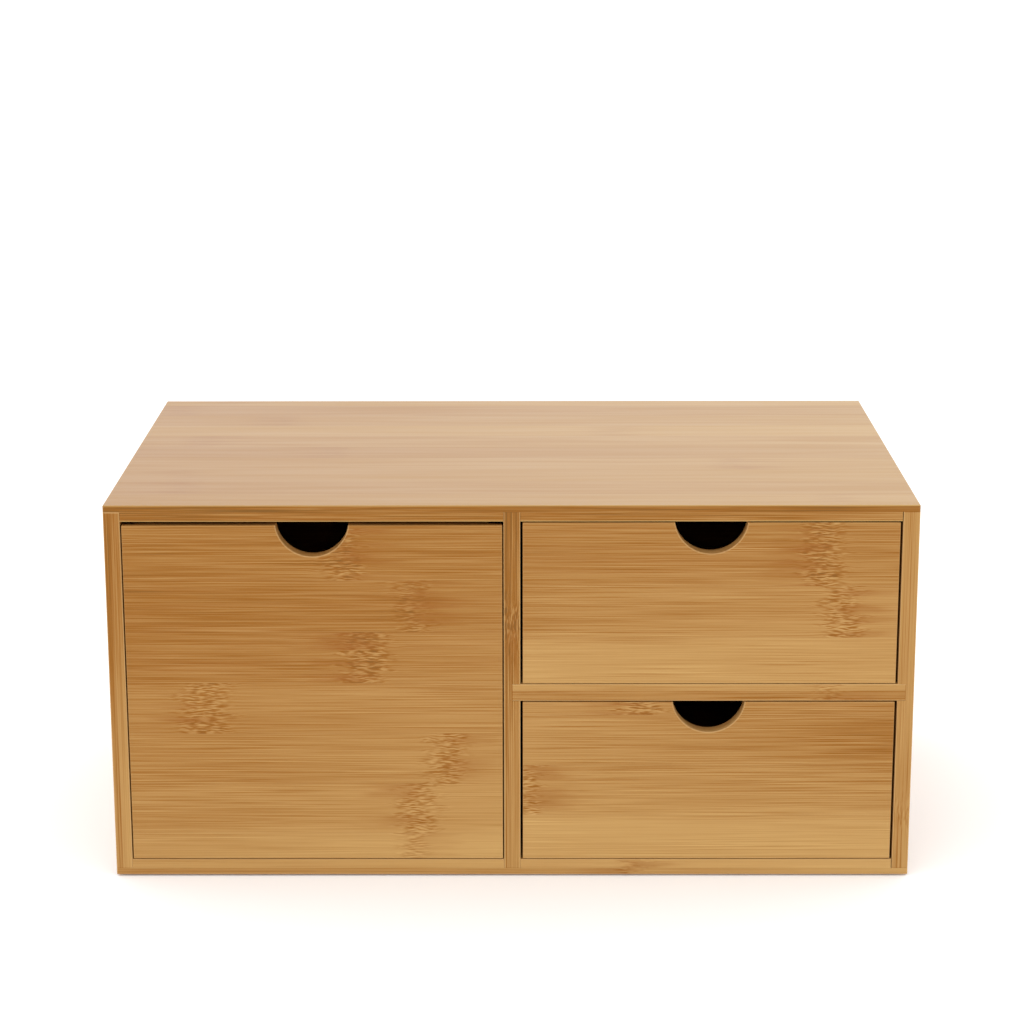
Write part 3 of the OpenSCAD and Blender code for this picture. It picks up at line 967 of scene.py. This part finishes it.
# %% Helpers: turned shapes
def revolve(profile, steps):
    """Turns a profile of (radius, height) about z. Point (i, k) is the profile's point i at angle
    2 pi k / steps. The first and last point have radius 0 and become the two poles. Gives the
    points, and the faces as an array of quads between the rings and one of triangles per pole."""
    angle = np.linspace(0.0, 2 * np.pi, steps, endpoint=False)
    radius, height = profile[1:-1, 0], profile[1:-1, 1]
    rings = np.stack([np.outer(radius, np.cos(angle)), np.outer(radius, np.sin(angle)),
                      np.repeat(height[:, None], steps, axis=1)], axis=-1).reshape(-1, 3)
    points = np.vstack([rings, [[0, 0, profile[0, 1]], [0, 0, profile[-1, 1]]]])
    count = len(radius)
    here = np.arange(steps)
    after = (here + 1) % steps
    row = (np.arange(count - 1) * steps)[:, None]
    quads = np.stack([row + here, row + after, row + steps + after, row + steps + here], axis=-1)
    first_cap = np.stack([np.full(steps, count * steps), after, here], axis=-1)
    last = (count - 1) * steps
    last_cap = np.stack([np.full(steps, count * steps + 1), last + here, last + after], axis=-1)
    return points, [quads.reshape(-1, 4), first_cap, last_cap]


def add_piece(name, points, faces, material, body, stands_for):
    """A mesh in the chest's frame that rides on a body, with smooth faces. faces is a list of
    arrays, each with the corners of its faces in rows."""
    mesh = bpy.data.meshes.new(name)
    mesh.from_pydata(points.tolist(), [], [face for part in faces for face in part.tolist()])
    mesh.polygons.foreach_set("use_smooth", np.ones(len(mesh.polygons), dtype=bool))
    mesh.update()
    mesh.materials.append(material)
    piece = bpy.data.objects.new(name, mesh)
    scene.collection.objects.link(piece)
    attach(piece, body)
    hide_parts(stands_for)


print("turning helpers ready")

# %% [markdown]
# ## Pad rubber
#
# Anti-slip rubber is nearly black, with a fine pebbled skin that breaks up any gloss. One even
# black would look like paint, so a soft mottle varies it, and cells of Voronoi noise are pebbles.

# %% Pad rubber
PEBBLES_PER_MM = 2.6
MOTTLE = (1.4, 1.4, 1.4)
RUBBER_DARK, RUBBER_PALE = (0.016, 0.015, 0.014, 1.0), (0.036, 0.034, 0.031, 1.0)
RUBBER_ROUGH, PEBBLE_ROUGH = 0.65, 0.2
PEBBLE_BUMP, PEBBLE_DEPTH = 0.4, 0.05 * MM

rubber, wire, shader = new_material("pad rubber")
place_mm = wire.object_mm()
pebbles = wire.node("TexVoronoi", {"Vector": place_mm, "Scale": PEBBLES_PER_MM}).outputs["Distance"]
mottle = wire.calc("ADD", wire.noise(place_mm, MOTTLE, detail=2.0), 0.5)
wire.fill(shader, {
    "Base Color": wire.mix(mottle, RUBBER_DARK, RUBBER_PALE),
    "Roughness": wire.calc("MULTIPLY_ADD", pebbles, PEBBLE_ROUGH, RUBBER_ROUGH),
    "Normal": wire.bump(pebbles, PEBBLE_BUMP, PEBBLE_DEPTH)})
print("material:", rubber.name)

# %% [markdown]
# ## Pads
#
# Under each corner sits a thin round rubber pad, pressed a little flat by the weight of the chest,
# so its side bulges. A cylinder with bevelled edges would be close, but its side would stay flat.
# The outline here is a superellipse: with a high power it is a flat disc with one soft rim.

# %% Pads
PAD_CORNERS = ("front_left", "front_right", "rear_left", "rear_right")
PAD_POWER = 7.0
PAD_RINGS, PAD_SIDES = 28, 64


def pad_profile(low, high):
    """(radius, height) of half a superellipse in the box from low to high. At angle t, from -90 to
    90 degrees, it is R |cos t|^(2 / power) wide and H sign(sin t) |sin t|^(2 / power) above the
    middle, where R and H are half the width and half the height of the box."""
    angle = np.linspace(-np.pi / 2, np.pi / 2, PAD_RINGS)
    radius = (high.x - low.x) / 2 * np.abs(np.cos(angle)) ** (2 / PAD_POWER)
    rise = np.sign(np.sin(angle)) * np.abs(np.sin(angle)) ** (2 / PAD_POWER)
    height = (high.z + low.z) / 2 + rise * (high.z - low.z) / 2
    radius[[0, -1]] = 0.0
    return np.stack([radius, height], axis=1)


for corner in PAD_CORNERS:
    low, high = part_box("pad_" + corner)
    profile = pad_profile(low, high)
    points, faces = revolve(profile, PAD_SIDES)
    points = points + [(low.x + high.x) / 2, (low.y + high.y) / 2, 0.0]
    add_piece("rubber_pad_" + corner, points, faces, rubber, "case", "pad_" + corner)
print("pads:", len(PAD_CORNERS), "radius", round(profile[:, 0].max() * PER_METRE, 2), "mm")

# %% [markdown]
# ## Brad steel
#
# A brad is a piece of drawn wire. Drawing leaves fine lines along it, and damp air leaves it dull
# in spots. The lines could be cut into the mesh, but on so thin a wire a bump is enough. They run
# along x, as the brads do, so noise stretched along x gives them, and a rounder noise dulls the
# colour.

# %% Brad steel
DRAWN_LINE = (4.0, 0.12, 0.12)
TARNISH = (0.7, 0.5, 0.5)
DULL_FULL, DULL_NONE = -0.15, 0.2
STEEL_DULL, STEEL_CLEAN = (0.30, 0.29, 0.28, 1.0), (0.62, 0.61, 0.60, 1.0)
STEEL_ROUGH, LINE_ROUGH = 0.38, 0.5
LINE_BUMP, LINE_DEPTH = 0.4, 0.02 * MM

steel, wire, shader = new_material("brad steel")
place_mm = wire.object_mm()
drawn = wire.noise(place_mm, DRAWN_LINE, detail=2.0)
clean = wire.ease(wire.noise(place_mm, TARNISH, detail=2.0), DULL_FULL, DULL_NONE)
wire.fill(shader, {
    "Metallic": 1.0, "Base Color": wire.mix(clean, STEEL_DULL, STEEL_CLEAN),
    "Roughness": wire.calc("MULTIPLY_ADD", drawn, LINE_ROUGH, STEEL_ROUGH),
    "Normal": wire.bump(drawn, LINE_BUMP, LINE_DEPTH)})
print("material:", steel.name)

# %% [markdown]
# ## The shape of a brad
#
# The corners of the drawers are held by headless wire brads, driven flush. Seen close, a brad
# starts in a small dished disc with a rounded rim, and its far end is cut to a point. A plain
# cylinder would do from afar, but the discs show on the sides of an open drawer. So the profile
# runs along the brad: the dish, the rim, a slimmer shank and the point.

# %% Helper: brad profile
HEAD_DISH, HEAD_ROUND = 0.06 * MM, 0.12 * MM
NECK_START, NECK_END = 4 * HEAD_ROUND, 6 * HEAD_ROUND
DISH_SHARE, SHANK_SHARE = 0.5, 0.9
POINT_LENGTH = 2.2 * MM
TIP_WIDE, TIP_LONG = 0.5, 0.4
RIM_STEPS = 5


def brad_profile(radius, length):
    """(radius, depth) from the dished head to the point. The rim is a quarter circle: at angle t it
    is at radius R - e + e sin t and depth e - e cos t, where e is HEAD_ROUND."""
    bend = np.linspace(0.0, np.pi / 2, RIM_STEPS)
    dish = [[0.0, HEAD_DISH], [radius * DISH_SHARE, HEAD_DISH]]
    rim = np.stack([radius - HEAD_ROUND + HEAD_ROUND * np.sin(bend),
                    HEAD_ROUND - HEAD_ROUND * np.cos(bend)], axis=1)
    shank = radius * SHANK_SHARE
    rest = [[radius, NECK_START], [shank, NECK_END], [shank, length - POINT_LENGTH],
            [shank * TIP_WIDE, length - POINT_LENGTH * TIP_LONG], [0.0, length]]
    return np.vstack([dish, rim, rest])


print("brad profile ready")

# %% [markdown]
# ## Brads
#
# The plain pins of each drawer come in as one piece. Their places could be typed in again, but
# then they would stay behind if a drawer changed. So places, radius and length are read from the
# corners of that piece, and a brad is copied to each place, driven in from the left or the right.

# %% Brads
BRAD_SIDES = 18
SAME_PLANE = 0.1 * MM
SAME_BRAD = 3 * MM


def cluster_middles(values, gap):
    """The middles of the groups that a list of numbers falls into, where the spaces exceed gap."""
    ordered = np.sort(values)
    cuts = np.flatnonzero(np.diff(ordered) > gap) + 1
    return [float(part.min() + part.max()) / 2 for part in np.split(ordered, cuts)]


for drawer in FRONT_STRIPS:
    node = drawer + "_drawer_pins"
    corners = np.array([v.co for v in nodes[node].data.vertices])
    low, high = corners.min(axis=0), corners.max(axis=0)
    heads = corners[np.isclose(corners[:, 0], low[0], atol=SAME_PLANE)]
    rows = cluster_middles(heads[:, 1], SAME_BRAD)
    levels = cluster_middles(heads[:, 2], SAME_BRAD)
    pin_radius = float(heads[:, 2].max() - levels[-1])
    inner = corners[(corners[:, 0] > low[0] + MM) & (corners[:, 0] < (low[0] + high[0]) / 2)]
    length = float(inner[:, 0].max() - low[0])
    shape, faces = revolve(brad_profile(pin_radius, length), BRAD_SIDES)
    drive_right = np.stack([shape[:, 2], -shape[:, 1], shape[:, 0]], axis=1)
    drive_left = np.stack([-shape[:, 2], shape[:, 1], shape[:, 0]], axis=1)
    copies, loops = [], []
    for side_x, form in ((low[0], drive_right), (high[0], drive_left)):
        for y in rows:
            for z in levels:
                start = len(copies) * len(shape)
                copies.append(form + [side_x, y, z])
                loops += [start + part for part in faces]
    add_piece(drawer + "_drawer_brads", np.vstack(copies), loops, steel, drawer + "_drawer",
              node)
    print(drawer, "brads:", len(copies), "length", round(length * PER_METRE, 1), "mm")

# %% [markdown]
# ## The size of it all
#
# New pieces can spill out of the space that the solids hold. The box around everything is
# measured and its size printed, so that it can be seen.

# %% Finish
low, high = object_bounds()
print("size in mm:", [round((end - start) * PER_METRE, 1) for start, end in zip(low, high)])
